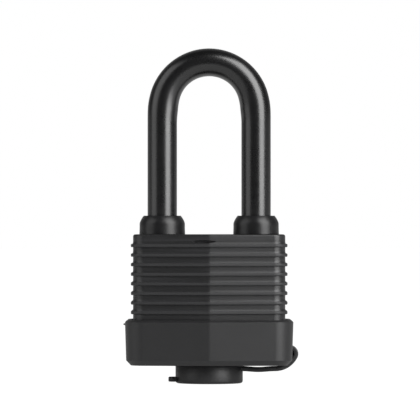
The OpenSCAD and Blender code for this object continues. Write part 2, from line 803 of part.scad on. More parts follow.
jacket();
base_cover();
shackle_seal(-1);  // shackle_seal_left
shackle_seal(1);  // shackle_seal_right
keyway_cap();
cap_strap();
shackle();
shackle_spring();
body_rivets();
bottom_plate();
for (i = [1:cylinder_plate_count]) {
    cylinder_plate(i + 1);
}
divider_plate();
bolt_plate();
guide_plate();
top_plate();
cylinder_shell();
cylinder_plug();
key_pins();
driver_pins();
pin_springs();
chamber_strip();
cam();
cam_screw();
locking_bolt_left();
locking_bolt_right();
bolt_spring(0);  // bolt_spring_left
bolt_spring(180);  // bolt_spring_right
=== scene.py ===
"""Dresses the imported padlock: moulded jacket and base cover, rubber seals, cap and strap, and the
coated steel shackle, with finishes for the plates, rivets, cylinder and bolts inside."""

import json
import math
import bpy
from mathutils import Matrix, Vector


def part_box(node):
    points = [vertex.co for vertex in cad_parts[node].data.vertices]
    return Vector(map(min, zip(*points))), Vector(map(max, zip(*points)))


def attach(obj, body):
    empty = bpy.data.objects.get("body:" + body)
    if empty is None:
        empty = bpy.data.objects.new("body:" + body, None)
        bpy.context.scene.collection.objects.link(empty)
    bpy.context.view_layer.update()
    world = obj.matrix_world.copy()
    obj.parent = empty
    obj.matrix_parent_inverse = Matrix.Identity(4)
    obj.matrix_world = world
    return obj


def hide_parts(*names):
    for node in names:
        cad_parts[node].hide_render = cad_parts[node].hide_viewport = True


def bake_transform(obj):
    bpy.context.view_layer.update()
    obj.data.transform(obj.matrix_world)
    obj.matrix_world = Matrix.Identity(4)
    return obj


bl_info = {
    "name": "Weatherproof Padlock",
    "version": (1, 0, 0),
    "blender": (4, 5, 0),
    "location": "View3D > Sidebar > Padlock",
    "description": "Moulds, colours and lights a covered laminated padlock round its packed frame",
    "category": "Object",
}

import bmesh
import bpy
from mathutils import Matrix, Vector

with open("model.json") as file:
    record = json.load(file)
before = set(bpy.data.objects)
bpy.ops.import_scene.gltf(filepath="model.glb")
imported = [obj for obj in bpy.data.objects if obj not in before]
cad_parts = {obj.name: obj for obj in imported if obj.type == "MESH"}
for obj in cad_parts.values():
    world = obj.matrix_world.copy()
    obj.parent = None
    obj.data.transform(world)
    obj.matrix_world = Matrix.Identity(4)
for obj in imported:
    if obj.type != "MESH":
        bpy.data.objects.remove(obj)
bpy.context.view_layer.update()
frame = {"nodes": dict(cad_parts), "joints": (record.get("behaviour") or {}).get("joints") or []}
NODES = frame["nodes"]

MM = 0.001
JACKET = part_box("jacket")
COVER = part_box("base_cover")
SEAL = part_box("shackle_seal_right")
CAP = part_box("keyway_cap")
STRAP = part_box("cap_strap")
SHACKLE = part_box("shackle")
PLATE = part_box("top_plate")
BOLT_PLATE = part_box("bolt_plate")
BOTTOM_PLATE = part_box("bottom_plate")
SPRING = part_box("shackle_spring")

ROD = SHACKLE[1].y
LEG = SHACKLE[1].x - ROD
# Height at which the strap enters the base cover.
ENTRY = STRAP[1].z - 1.25 * MM
# Gap between pieces that don't move on each other.
FIT = 0.05 * MM
# Gap round pieces that go in loosely.
LOOSE = 0.1 * MM


# Sizes and colours


def linear(code):
    """Linear RGBA of an sRGB hex colour such as "#2b2b2d"."""
    parts = [int(code[i:i + 2], 16) / 255 for i in (1, 3, 5)]
    return [c / 12.92 if c <= 0.04045 else ((c + 0.055) / 1.055) ** 2.4 for c in parts] + [1.0]


def length(name, description, default):
    return bpy.props.FloatProperty(
        name=name, description=description, default=default, min=0.0, max=2.0, precision=5, unit="LENGTH"
    )


def turn(name, description, default):
    return bpy.props.FloatProperty(
        name=name, description=description, default=math.radians(default), min=-math.pi, max=math.pi,
        subtype="ANGLE",
    )


def share(name, description, default):
    return bpy.props.FloatProperty(name=name, description=description, default=default, min=0.0, max=60.0)


def colour(name, description, code):
    return bpy.props.FloatVectorProperty(
        name=name, description=description, default=linear(code), size=4, min=0.0, max=1.0, subtype="COLOR"
    )


class BodySizes(bpy.types.PropertyGroup):
    """Sizes that the jacket and the base cover share, and those of the ribs."""

    slope: turn("Facet slope", "Slope of each front facet away from the ridge", 7)
    corner: length("Corner radius", "Corner radius of the jacket between its ribs", 3.2 * MM)
    rib_proud: length("Rib height", "How far a rib stands proud", 0.53 * MM)
    rib_width: length("Rib width", "Width of a rib", 0.8 * MM)
    rib_pitch: length("Rib pitch", "Distance from one rib to the next", 2.3 * MM)
    rib_start: length("First rib", "From the jacket's top to the first rib's middle", 2.69 * MM)
    rib_sweep: length("Rib sweep", "Height of the hollow sweep above a rib", 0.62 * MM)
    rib_toe: length("Sweep toe", "How far the sweep stands out at the rib", 0.14 * MM)
    rib_round: length("Rib rounding", "Rounding along a rib's edges", 0.2 * MM)
    ridge_round: length("Ridge rounding", "Half width of the rounding along the ridge", 0.35 * MM)
    top_round: length("Top rounding", "Rounding of the jacket's top edge", 0.5 * MM)
    inner_corner: length("Inner corner", "Corner radius of the space for the plates", 3.6 * MM)
    ribs: bpy.props.IntProperty(name="Ribs", description="Number of ribs", default=8, min=1, max=8)
    gate: length("Gate stub", "Size of the gate's stub on the top edge", 0.5 * MM)
    mark_width: length("Mark width", "Width of the lens-shaped recess", 5.8 * MM)
    mark_height: length("Mark height", "Height of the lens-shaped recess", 0.7 * MM)
    mark_depth: length("Mark depth", "Depth of the lens-shaped recess", 0.6 * MM)
    mark_place: length("Mark place", "From the ridge to the recess's middle", 1.27 * MM)


class CoverSizes(bpy.types.PropertyGroup):
    """Sizes of the base cover."""

    lip: length("Lip", "Width of the flat lip round the cover's top", 1.25 * MM)
    shoulder: length("Shoulder height", "Height of the sloped shoulder", 0.5 * MM)
    draft: length("Draft", "How much narrower the wall is at its foot", 0.28 * MM)
    chamfer: length("Chamfer width", "Width of the chamfer under the cover", 1.45 * MM)
    chamfer_rise: length("Chamfer height", "Height of the chamfer under the cover", 1.2 * MM)
    rounding: length("Rounding", "Rounding along the cover's edges", 0.16 * MM)
    bore: length("Spigot bore", "Radius of the bore round the keyway", 5.7 * MM)
    spigot: length("Spigot wall", "Thickness of the spigot's wall", 0.85 * MM)
    cap_gap: length("Cap gap", "Gap between the cap and the cover", 0.15 * MM)
    seat: length("Anchor seat", "Half width of the seat for the strap's head", 3.25 * MM)
    seat_rise: length("Anchor seat height", "Half height of the seat for the strap's head", 1.3 * MM)
    flash: length("Flash", "How far the flake of flash stands out at the left end", 0.4 * MM)


class RubberSizes(bpy.types.PropertyGroup):
    """Sizes of the seals, the cap and the strap."""

    seal: length("Seal radius", "Radius of a seal at its widest", 5.48 * MM)
    seal_neck: length("Seal neck", "Radius of a seal in the jacket's hole", 4.6 * MM)
    seal_flange: length("Seal flange", "Thickness of the flange under the jacket's top", 0.75 * MM)
    seal_shoulder: length("Seal shoulder", "Width of the rounded shoulder on a seal", 1.0 * MM)
    seal_shoulder_rise: length("Seal shoulder height", "Height of the rounded shoulder", 2.0 * MM)
    seal_foot: length("Seal foot", "How much wider a seal is at its foot", 0.05 * MM)
    seal_gap: length("Seal gap", "Gap between the shackle and a seal's bore", 0.08 * MM)
    seal_lip: length("Seal lip", "Width of the thin lip that wipes the shackle", 0.45 * MM)
    cap_wall: length("Cap wall", "Thickness of the cap's skirt", 1.25 * MM)
    cap_floor: length("Cap floor", "Thickness of the cap's floor", 1.3 * MM)
    cap_round: length("Cap rounding", "Rounding of the cap's lower edge", 0.65 * MM)
    tab: length("Tab", "How far the pull tab stands out", 1.7 * MM)
    tab_width: length("Tab width", "Width of the pull tab", 5.2 * MM)
    tab_low: length("Tab underside", "Height of the pull tab's underside", 0.4 * MM)
    tab_high: length("Tab top", "Height of the pull tab's top", 1.5 * MM)
    tab_corner: length("Tab corner", "Corner radius of the pull tab", 1.5 * MM)
    tab_round: length("Tab rounding", "Rounding along the pull tab's edges", 0.2 * MM)
    strap: length("Strap thickness", "Thickness of the strap", 1.1 * MM)
    strap_lean: length("Strap lean", "How far the loop's back edge leans towards the cover", 0.35 * MM)
    strap_sag: length("Strap sag", "How far the strap sags before its loop", 0.22 * MM)
    strap_width: length("Strap width", "Width of the strap", 5.0 * MM)
    strap_round: length("Strap rounding", "Rounding along the strap's edges", 0.3 * MM)
    strap_turn: length("Strap turn", "Radius of the strap's turn into the cover", 1.6 * MM)
    strap_bend: length("Strap bend", "Where the strap starts to rise, from the cover's end", 4.25 * MM)
    anchor: length("Anchor", "How far inside the cover's end the head starts", 1.05 * MM)
    head: length("Strap head", "How far the strap's head stands out", 0.7 * MM)
    head_long: length("Strap head length", "Length of the strap's head", 0.8 * MM)


class ShackleSizes(bpy.types.PropertyGroup):
    """Sizes of the shackle's bent rod and its cut ends."""

    pinch: length("Pinch", "How far the bend pulls the arch in", 0.3 * MM)
    flare: length("Flare", "How far below the arch the legs reach their full spacing", 3.6 * MM)
    crown_thin: length("Crown thinning", "How much thinner the rod is at the crown", 0.35 * MM)
    spring_thick: length("Spring thickening", "How much thicker the rod is at the arch's start", 0.22 * MM)
    toe_edge: length("Toe chamfer", "Chamfer round the toe's end", 0.5 * MM)
    toe_notch: length("Toe notch", "Depth of the toe's notch", 1.8 * MM)
    heel_notch: length("Heel notch", "Depth of the heel's two notches", 2.6 * MM)
    heel_flat: length("Heel flat", "Depth of the flat between the heel's notches", 0.9 * MM)
    notch_height: length("Notch height", "Height of every notch", 2.45 * MM)
    running_gap: length("Running gap", "Gap under a bolt in its notch", 0.04 * MM)


class Studio(bpy.types.PropertyGroup):
    """Camera, lamps and floor."""

    distance: length("Camera distance", "From the camera to the axis", 1.0)
    frame: length("Frame width", "Width that the camera sees at the axis", 101.64 * MM)
    centre_x: length("Aim across", "How far right of the axis the camera aims", 0.2 * MM)
    centre_z: length("Aim height", "Height at which the camera aims", 41.87 * MM)
    camera_z: length("Camera height", "Height of the camera", 38 * MM)
    key: share("Key light", "Radiance of the tall right light", 5.35)
    fill: share("Fill light", "Radiance of the left light", 1.1)
    table: length("Table edge", "How far the pale table reaches in front", 0.3)
    room: share("Room light", "Light from all round on matt surfaces", 0.2)
    backdrop: share("Backdrop", "Radiance of the white backdrop in reflections", 0.35)
    paper: share("Paper", "Radiance of the paper under the padlock", 1.17)


class Finishes(bpy.types.PropertyGroup):
    """Colours of the finishes."""

    jacket: colour("Jacket", "Black plastic of the jacket", "#1c1c1d")
    cover: colour("Base cover", "Black plastic of the base cover", "#202021")
    seal: colour("Seals", "Black seal rubber", "#161617")
    cap: colour("Cap and strap", "Black cap rubber", "#2a2a2b")
    shackle: colour("Shackle", "Black coating of the shackle", "#0c0c0d")
    zinc: colour("Zinc", "Zinc plating on the plates", "#b4b8bd")
    steel: colour("Steel", "Bare ground steel", "#c3c3c2")
    wire: colour("Wire", "Stainless spring wire", "#c9cacb")
    nickel: colour("Nickel", "Nickel plating on the driver pins and screw", "#cdc8bd")
    brass: colour("Brass", "Machined brass", "#d8b465")


# Finishes


def add(tree, kind, inputs=None, links=None, **settings):
    """Adds a node to a tree, with its settings, its input values and its links."""
    made = tree.nodes.new(kind)
    for name, value in settings.items():
        setattr(made, name, value)
    for name, value in (inputs or {}).items():
        made.inputs[name].default_value = value
    for name, source in (links or {}).items():
        tree.links.new(source, made.inputs[name])
    return made


def finish(name):
    """An empty material with its tree and the coordinates that its patterns follow."""
    material = bpy.data.materials.new(name)
    material.use_nodes = True
    tree = material.node_tree
    tree.nodes.clear()
    where = add(tree, "ShaderNodeTexCoord").outputs["Object"]
    return material, tree, where


def tone(colour, factor):
    return [min(1.0, c * factor) for c in colour[:3]] + [1.0]


def ray_kinds(tree):
    """Whether a ray comes from the camera, and whether it was mirrored or let through."""
    rays = add(tree, "ShaderNodeLightPath")
    mirrored = add(
        tree, "ShaderNodeMath", links={0: rays.outputs["Is Glossy Ray"], 1: rays.outputs["Is Transmission Ray"]},
        operation="MAXIMUM",
    )
    return rays.outputs["Is Camera Ray"], mirrored.outputs[0]


def patchy(material, tree, patches, bump, colour, tones, gloss, inputs):
    """Ends a finish whose patches take its tone and its roughness from one value to another."""
    base = add(
        tree, "ShaderNodeMix", {6: tone(colour, tones[0]), 7: tone(colour, tones[1])},
        {0: patches.outputs["Fac"]}, data_type="RGBA",
    )
    rough = add(tree, "ShaderNodeMix", {2: gloss[0], 3: gloss[1]}, {0: patches.outputs["Fac"]})
    shader = add(
        tree, "ShaderNodeBsdfPrincipled", inputs,
        {"Base Color": base.outputs[2], "Roughness": rough.outputs[0], "Normal": bump.outputs["Normal"]},
    )
    add(tree, "ShaderNodeOutputMaterial", links={"Surface": shader.outputs["BSDF"]})
    return material


def moulded_plastic(name, colour, roughness, grain, streaks=0.0):
    """Injection-moulded ABS blend with a spark-eroded mould finish: a fine even grain that widens its reflections,
    faint flow marks, glossier streaks painted lighter as a painted sheen, and rib crests painted lighter as painted
    light above the shaded recesses and made rougher by handling."""
    material, tree, where = finish(name)
    # Spark erosion leaves pits 0.05 mm wide; drawn at the given size so that they show.
    pits = add(tree, "ShaderNodeTexNoise", {"Scale": 1 / grain, "Detail": 3.0, "Roughness": 0.6}, {"Vector": where})
    # Flow marks, about 9 mm apart.
    flow = add(
        tree, "ShaderNodeTexNoise", {"Scale": 1 / (9 * MM), "Detail": 4.0, "Roughness": 0.55}, {"Vector": where}
    )
    # Streaks of the melt run along X, about 1.1 mm apart and 30 mm long.
    along = add(tree, "ShaderNodeMapping", {"Scale": (0.04, 0.04, 1.0)}, {"Vector": where})
    melt = add(
        tree, "ShaderNodeTexNoise", {"Scale": 1 / (1.1 * MM), "Detail": 2.0, "Roughness": 0.5},
        {"Vector": along.outputs["Vector"]},
    )
    # The crests are painted lighter than the recesses: painted light that they catch above the shaded recesses. They
    # are also made rougher, as wear from handling.
    crest_light_and_wear = add(tree, "ShaderNodeAttribute", attribute_name="crest")
    base = add(
        tree, "ShaderNodeMix", {6: tone(colour, 0.7), 7: tone(colour, 1.3)}, {0: flow.outputs["Fac"]},
        data_type="RGBA",
    )
    # Along the streaks the colour is painted up to three times lighter, a painted sheen; the roughness is also
    # lowered there.
    sheen = add(
        tree, "ShaderNodeMapRange", {"From Min": 0.45, "From Max": 0.72, "To Max": streaks},
        {"Value": melt.outputs["Fac"]},
    )
    painted_sheen = add(
        tree, "ShaderNodeMix", {7: tone(colour, 3.0)}, {0: sheen.outputs["Result"], 6: base.outputs[2]},
        data_type="RGBA",
    )
    # Painted light: the crests' colour is lifted above the recesses'.
    lit_crests = add(
        tree, "ShaderNodeMix", {7: tone(colour, 1.8)}, {0: crest_light_and_wear.outputs["Fac"], 6: painted_sheen.outputs[2]},
        data_type="RGBA",
    )
    smooth = add(
        tree, "ShaderNodeMath", {1: -0.1, 2: roughness}, {0: sheen.outputs["Result"]}, operation="MULTIPLY_ADD"
    )
    dulled = add(
        tree, "ShaderNodeMath", {1: 0.14}, {0: crest_light_and_wear.outputs["Fac"], 2: smooth.outputs[0]},
        operation="MULTIPLY_ADD",
    )
    bump = add(tree, "ShaderNodeBump", {"Strength": 0.25, "Distance": 0.02 * MM}, {"Height": pits.outputs["Fac"]})
    shader = add(
        tree, "ShaderNodeBsdfPrincipled", {"IOR": 1.57},
        {"Base Color": lit_crests.outputs[2], "Roughness": dulled.outputs[0], "Normal": bump.outputs["Normal"]},
    )
    add(tree, "ShaderNodeOutputMaterial", links={"Surface": shader.outputs["BSDF"]})
    return material


def soft_rubber(name, colour, roughness, bloom):
    """Moulded EPDM rubber: smooth and a little waxy, with faint uneven bloom on the surface."""
    material, tree, where = finish(name)
    # Wax bloom comes in soft patches about 3 mm across.
    patches = add(
        tree, "ShaderNodeTexNoise", {"Scale": 1 / (3 * MM), "Detail": 5.0, "Roughness": 0.6}, {"Vector": where}
    )
    # The mould's polishing lines are 0.02 mm apart; drawn at 0.3 mm so that they show.
    lines = add(tree, "ShaderNodeTexNoise", {"Scale": 1 / (0.3 * MM), "Detail": 2.0}, {"Vector": where})
    bump = add(tree, "ShaderNodeBump", {"Strength": 0.15, "Distance": 0.02 * MM}, {"Height": lines.outputs["Fac"]})
    tones, gloss = (1 - bloom, 1 + bloom), (roughness - 0.1, roughness + 0.12)
    return patchy(material, tree, patches, bump, colour, tones, gloss, {"IOR": 1.52})


def coated_steel(name, colour):
    """Drawn steel rod under a baked black coating: a smooth semi-gloss film that follows the long
    drawing lines of the rod, with a few pinholes and faint handling marks."""
    material, tree, where = finish(name)
    # Drawing lines run along the legs, about 0.4 mm apart.
    long = add(tree, "ShaderNodeMapping", {"Scale": (1.0, 1.0, 0.04)}, {"Vector": where})
    lines = add(
        tree, "ShaderNodeTexNoise", {"Scale": 1 / (0.4 * MM), "Detail": 2.0}, {"Vector": long.outputs["Vector"]}
    )
    # Orange peel of the film, about 0.6 mm across.
    peel = add(tree, "ShaderNodeTexNoise", {"Scale": 1 / (0.6 * MM), "Detail": 3.0}, {"Vector": where})
    # Handling marks about 6 mm across.
    marks = add(
        tree, "ShaderNodeTexNoise", {"Scale": 1 / (6 * MM), "Detail": 6.0, "Roughness": 0.65}, {"Vector": where}
    )
    first = add(tree, "ShaderNodeBump", {"Strength": 0.08, "Distance": 0.01 * MM}, {"Height": lines.outputs["Fac"]})
    bump = add(
        tree, "ShaderNodeBump", {"Strength": 0.14, "Distance": 0.02 * MM},
        {"Height": peel.outputs["Fac"], "Normal": first.outputs["Normal"]},
    )
    return patchy(material, tree, marks, bump, colour, (0.7, 1.6), (0.22, 0.34), {"IOR": 1.76})


def rolled_zinc(name, colour):
    """Stamped strip steel with bright zinc plating: rolling lines along X, cloudy passivation."""
    material, tree, where = finish(name)
    # Rolling lines 0.15 mm apart.
    long = add(tree, "ShaderNodeMapping", {"Scale": (0.05, 1.0, 1.0)}, {"Vector": where})
    lines = add(
        tree, "ShaderNodeTexNoise", {"Scale": 1 / (0.15 * MM), "Detail": 3.0}, {"Vector": long.outputs["Vector"]}
    )
    # Passivation clouds about 4 mm across.
    clouds = add(tree, "ShaderNodeTexNoise", {"Scale": 1 / (4 * MM), "Detail": 4.0}, {"Vector": where})
    bump = add(tree, "ShaderNodeBump", {"Strength": 0.2, "Distance": 0.01 * MM}, {"Height": lines.outputs["Fac"]})
    return patchy(material, tree, clouds, bump, colour, (0.7, 1.1), (0.22, 0.5), {"Metallic": 1.0})


def worked_metal(name, colour, spacing, stretch, roughness):
    """Bare metal with the marks of its tool: ground, drawn or machined, by how far they stretch
    along each axis."""
    material, tree, where = finish(name)
    long = add(tree, "ShaderNodeMapping", {"Scale": stretch}, {"Vector": where})
    lines = add(tree, "ShaderNodeTexNoise", {"Scale": 1 / spacing, "Detail": 3.0}, {"Vector": long.outputs["Vector"]})
    # Oil stain and handling, in patches about 2.5 mm across.
    stain = add(tree, "ShaderNodeTexNoise", {"Scale": 1 / (2.5 * MM), "Detail": 3.0}, {"Vector": where})
    bump = add(tree, "ShaderNodeBump", {"Strength": 0.22, "Distance": 0.008 * MM}, {"Height": lines.outputs["Fac"]})
    gloss = roughness - 0.1, roughness + 0.12
    return patchy(material, tree, stain, bump, colour, (0.75, 1.1), gloss, {"Metallic": 1.0})


def turned_brass(name, colour, spacing):
    """Brass turned on a lathe: fine rings round the plug's axis, which catch the light."""
    material, tree, where = finish(name)
    # A wave's own period is a twentieth of its scale's.
    rings = add(
        tree, "ShaderNodeTexWave", {"Scale": 1 / (spacing * 20), "Distortion": 0.6, "Detail": 2.0},
        {"Vector": where}, wave_type="RINGS", rings_direction="Z",
    )
    # Tarnish in patches about 2 mm across.
    stain = add(tree, "ShaderNodeTexNoise", {"Scale": 1 / (2 * MM), "Detail": 4.0}, {"Vector": where})
    bump = add(tree, "ShaderNodeBump", {"Strength": 0.3, "Distance": 0.01 * MM}, {"Height": rings.outputs["Fac"]})
    return patchy(material, tree, stain, bump, colour, (0.7, 1.1), (0.14, 0.42), {"Metallic": 1.0})


# Modelling


def newer(bm, before):
    return [e for e in bm.edges if e not in before]


def span(edge):
    return edge.verts[1].co - edge.verts[0].co


def soften(bm, geom, offset, segments, affect="EDGES"):
    bmesh.ops.bevel(
        bm, geom=geom, offset=offset, offset_type="OFFSET", segments=segments, profile=0.5,
        affect=affect, material=-1, clamp_overlap=affect == "EDGES",
    )


def rounded_ring(bm, grow, z):
    """One ring round the body, grown by a distance: two facets front and back, and round corners."""
    sizes = bpy.context.scene.padlock_body
    x = JACKET[1].x - sizes.rib_proud + grow
    ridge = JACKET[1].y - sizes.rib_proud / math.cos(sizes.slope) + grow / math.cos(sizes.slope)
    end = ridge - x * math.tan(sizes.slope)
    points = [(0, -ridge), (x, -end), (x, end), (0, ridge), (-x, end), (-x, -end)]
    before = set(bm.edges)
    verts = [bm.verts.new((px, py, z)) for px, py in points]
    bm.faces.new(verts)
    cut = (sizes.corner + grow) / math.tan((math.pi / 2 + sizes.slope) / 2)
    soften(bm, [verts[i] for i in (1, 2, 4, 5)], cut, 10, "VERTICES")
    soften(bm, [verts[i] for i in (0, 3)], sizes.ridge_round, 3, "VERTICES")
    edges = newer(bm, before)
    bmesh.ops.delete(bm, geom=edges[0].link_faces[:], context="FACES_ONLY")
    return edges


def plate_ring(bm, grow, z, corner):
    """A ring that follows the plates' outline, grown by a distance."""
    x, y = PLATE[1].x + grow, PLATE[1].y + grow
    before = set(bm.edges)
    verts = [bm.verts.new((sx * x, sy * y, z)) for sx, sy in ((-1, -1), (1, -1), (1, 1), (-1, 1))]
    bm.faces.new(verts)
    soften(bm, verts, corner + grow, 6, "VERTICES")
    edges = newer(bm, before)
    bmesh.ops.delete(bm, geom=edges[0].link_faces[:], context="FACES_ONLY")
    return edges


def round_ring(bm, x, z, radius, segments=64):
    before = set(bm.edges)
    bmesh.ops.create_circle(
        bm, cap_ends=False, radius=radius, segments=segments, matrix=Matrix.Translation((x, 0, z))
    )
    return newer(bm, before)


def ease(share):
    """A smooth rise from 0 to 1."""
    share = min(1.0, max(0.0, share))
    return share * share * (3 - 2 * share)


def quarter(count):
    """Sines and cosines of evenly spaced angles from 0 to 90 degrees."""
    angles = [math.pi / 2 * i / (count - 1) for i in range(count)]
    return [(math.sin(a), math.cos(a)) for a in angles]


def bridge(bm, rings):
    for low, high in zip(rings, rings[1:]):
        bmesh.ops.bridge_loops(bm, edges=low + high)


def fill(bm, *rings):
    bmesh.ops.triangle_fill(bm, use_beauty=True, use_dissolve=False, edges=[e for r in rings for e in r])


def tidy(bm):
    bmesh.ops.remove_doubles(bm, verts=bm.verts, dist=0.002 * MM)
    bmesh.ops.recalc_face_normals(bm, faces=bm.faces)


def turned(bm, profile, x, segments=96, closed=True):
    """Spins a profile of (radius, height) points about an upright line at x."""
    verts = [bm.verts.new((x + r, 0, z)) for r, z in profile]
    ends = verts[1:] + verts[:1] if closed else verts[1:]
    edges = [bm.edges.new(pair) for pair in zip(verts, ends)]
    bmesh.ops.spin(
        bm, geom=verts + edges, cent=(x, 0, 0), axis=(0, 0, 1), angle=2 * math.pi, steps=segments, use_merge=True,
    )


def extrude(bm, faces):
    """Extrudes faces, and returns the vertices and the faces of the new end."""
    made = bmesh.ops.extrude_face_region(bm, geom=faces)["geom"]
    bmesh.ops.delete(bm, geom=faces, context="FACES_ONLY")
    verts = [v for v in made if isinstance(v, bmesh.types.BMVert)]
    return verts, [f for f in made if isinstance(f, bmesh.types.BMFace)]


def push(bm, faces, move, steps=1):
    """Extrudes faces by a distance in even steps, and returns the faces of the new end."""
    for _ in range(steps):
        verts, faces = extrude(bm, faces)
        bmesh.ops.translate(bm, vec=[way / steps for way in move], verts=verts)
    return faces


def placed(name, bm):
    """Puts a bmesh into the scene as an object."""
    mesh = bpy.data.meshes.new(name)
    bm.to_mesh(mesh)
    bm.free()
    made = bpy.data.objects.new(name, mesh)
    bpy.context.scene.collection.objects.link(made)
    return made


def piece_of(name, bm, material, body, slot, *nodes, angle=32):
    """Makes a finished piece from a bmesh: it rides on a body and stands for its CAD nodes."""
    made = placed(name, bm)
    made.data.materials.append(material)
    made.data.shade_smooth()
    made.data.set_sharp_from_angle(angle=math.radians(angle))
    if body:
        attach(made, body)
    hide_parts(*nodes)
    return made


def level(made):
    """Keeps flat faces flat in the shading beside small roundings."""
    modifier = made.modifiers.new("Flat faces", "WEIGHTED_NORMAL")
    modifier.weight = 50
    modifier.keep_sharp = True


def block(bm, low, high):
    size = Vector(high) - Vector(low)
    place = Matrix.Translation((Vector(low) + Vector(high)) / 2) @ Matrix.Diagonal((*size, 1))
    bmesh.ops.create_cube(bm, size=1.0, matrix=place)


def carve(made, bm):
    """Cuts a shape out of a piece, and removes the shape."""
    tool = placed("cut", bm)
    modifier = made.modifiers.new("Cut", "BOOLEAN")
    modifier.operation = "DIFFERENCE"
    modifier.solver = "EXACT"
    modifier.object = tool
    bpy.context.view_layer.update()
    cut = bpy.data.meshes.new_from_object(made.evaluated_get(bpy.context.evaluated_depsgraph_get()))
    made.modifiers.clear()
    old = made.data
    made.data = cut
    bpy.data.meshes.remove(old)
    bpy.data.objects.remove(tool)
    if not len(cut.polygons):
        raise RuntimeError(f"{made.name} is empty after its cut")


def carve_block(made, low, high):
    bm = bmesh.new()
    block(bm, low, high)
    carve(made, bm)


# Pieces


class PADLOCK_OT_finishes(bpy.types.Operator):
    """Give the steel and brass pieces inside the lock their finishes"""

    bl_idname = "padlock.finishes"
    bl_label = "Inner finishes"

    def execute(self, context):
        hues = context.scene.padlock_finishes
        zinc = rolled_zinc("Zinc-plated strip steel", hues.zinc)
        rivet = worked_metal("Headed bright steel", hues.steel, 0.3 * MM, (1.0, 1.0, 0.3), 0.3)
        ground = worked_metal("Ground hardened steel", hues.steel, 0.12 * MM, (0.06, 1.0, 1.0), 0.26)
        wire = worked_metal("Drawn stainless wire", hues.wire, 0.1 * MM, (1.0, 1.0, 0.5), 0.24)
        nickel = worked_metal("Nickel-plated steel", hues.nickel, 0.1 * MM, (1.0, 0.2, 1.0), 0.2)
        housing = worked_metal("Machined brass", hues.brass, 0.15 * MM, (1.0, 1.0, 0.1), 0.3)
        turned_plug = turned_brass("Turned brass", hues.brass, 0.2 * MM)
        pins = worked_metal("Turned pin brass", hues.brass, 0.1 * MM, (1.0, 0.2, 1.0), 0.24)
        finishes = {
            "body_rivets": rivet, "shackle_spring": wire, "pin_springs": wire, "bolt_spring_left": wire,
            "bolt_spring_right": wire, "cylinder_shell": housing, "chamber_strip": housing,
            "cylinder_plug": turned_plug, "key_pins": pins, "driver_pins": nickel, "cam_screw": nickel,
            "cam": ground, "locking_bolt_left": ground, "locking_bolt_right": ground,
        }
        for name, node in NODES.items():
            chosen = finishes.get(name, zinc if name.endswith("_plate") or "_plate_" in name else None)
            if chosen:
                node.data.materials.clear()
                node.data.materials.append(chosen)
        return {"FINISHED"}


class PADLOCK_OT_jacket(bpy.types.Operator):
    """Mould the ribbed jacket"""

    bl_idname = "padlock.jacket"
    bl_label = "Jacket"

    def execute(self, context):
        sizes, rubber = context.scene.padlock_body, context.scene.padlock_rubber
        top, foot = JACKET[1].z, JACKET[0].z
        ceiling = PLATE[1].z + FIT
        proud, bend = sizes.rib_proud, sizes.rib_round
        bm = bmesh.new()
        crest = bm.verts.layers.float.new("crest")
        # How far each ring stands out, and its height, from the foot to the top.
        profile = [(0, foot)]
        rises = [step / 5 for step in range(6)]
        for i in range(sizes.ribs - 1, -1, -1):
            middle = top - sizes.rib_start - i * sizes.rib_pitch
            low, high = middle - sizes.rib_width / 2, middle + sizes.rib_width / 2
            profile.append((0, low))
            profile += [(proud - bend * (1 - s), low + bend * (1 - c)) for s, c in quarter(4)]
            profile += [(proud - bend * (1 - c), high - bend * (1 - s)) for s, c in quarter(4)]
            profile += [(sizes.rib_toe * (1 - up) ** 2, high + sizes.rib_sweep * up) for up in rises]
        profile += [(-sizes.top_round * (1 - c), top - sizes.top_round * (1 - s)) for s, c in quarter(5)]
        outside = []
        for grow, z in profile:
            outside.append(rounded_ring(bm, grow, z))
            # The crest value marks the ribs' crests. The plastic's finish paints them lighter, as painted light, and
            # makes them rougher.
            for v in {v for e in outside[-1] for v in e.verts}:
                v[crest] = float(grow > 0.85 * proud)
        bridge(bm, outside)
        neck = rubber.seal_neck + FIT
        flange = (SEAL[1].x - SEAL[0].x) / 2 + FIT
        step = ceiling + rubber.seal_flange + LOOSE
        holes, seats = [], []
        for side in (-1, 1):
            rings = [
                round_ring(bm, side * LEG, z, radius)
                for z, radius in ((top, neck), (step, neck), (step, flange), (ceiling, flange))
            ]
            bridge(bm, rings)
            holes.append(rings[0])
            seats.append(rings[-1])
        fill(bm, outside[-1], *holes)
        inside = [plate_ring(bm, LOOSE, z, sizes.inner_corner) for z in (ceiling, foot)]
        bridge(bm, inside)
        fill(bm, inside[0], *seats)
        fill(bm, inside[1], outside[0])
        tidy(bm)
        ridge = JACKET[1].y - proud / math.cos(sizes.slope)
        gate = sizes.gate
        bmesh.ops.create_cone(
            bm, cap_ends=True, segments=16, radius1=gate * 0.6, radius2=gate * 0.4, depth=gate * 1.2,
            matrix=Matrix.Translation((0, -ridge + sizes.top_round + 0.2 * MM, top + gate * 0.4)),
        )
        made = piece_of(
            "jacket_moulding", bm,
            moulded_plastic(
                "Textured black ABS", context.scene.padlock_finishes.jacket, roughness=0.4, grain=0.35 * MM,
                streaks=0.7,
            ),
            "lock_body", "jacket_plastic", "jacket",
        )
        # The lens-shaped recess, bent over the ridge.
        mark = bmesh.new()
        first = top - sizes.rib_start + sizes.rib_width / 2
        bmesh.ops.create_uvsphere(
            mark, u_segments=48, v_segments=24, radius=0.5,
            matrix=Matrix.Translation((-sizes.mark_place, -ridge, first + sizes.mark_height * 0.75))
            @ Matrix.Diagonal((sizes.mark_width, 2 * sizes.mark_depth, sizes.mark_height, 1)),
        )
        for v in mark.verts:
            v.co.y += abs(v.co.x) * math.tan(sizes.slope)
        carve(made, mark)
        level(made)
        return {"FINISHED"}


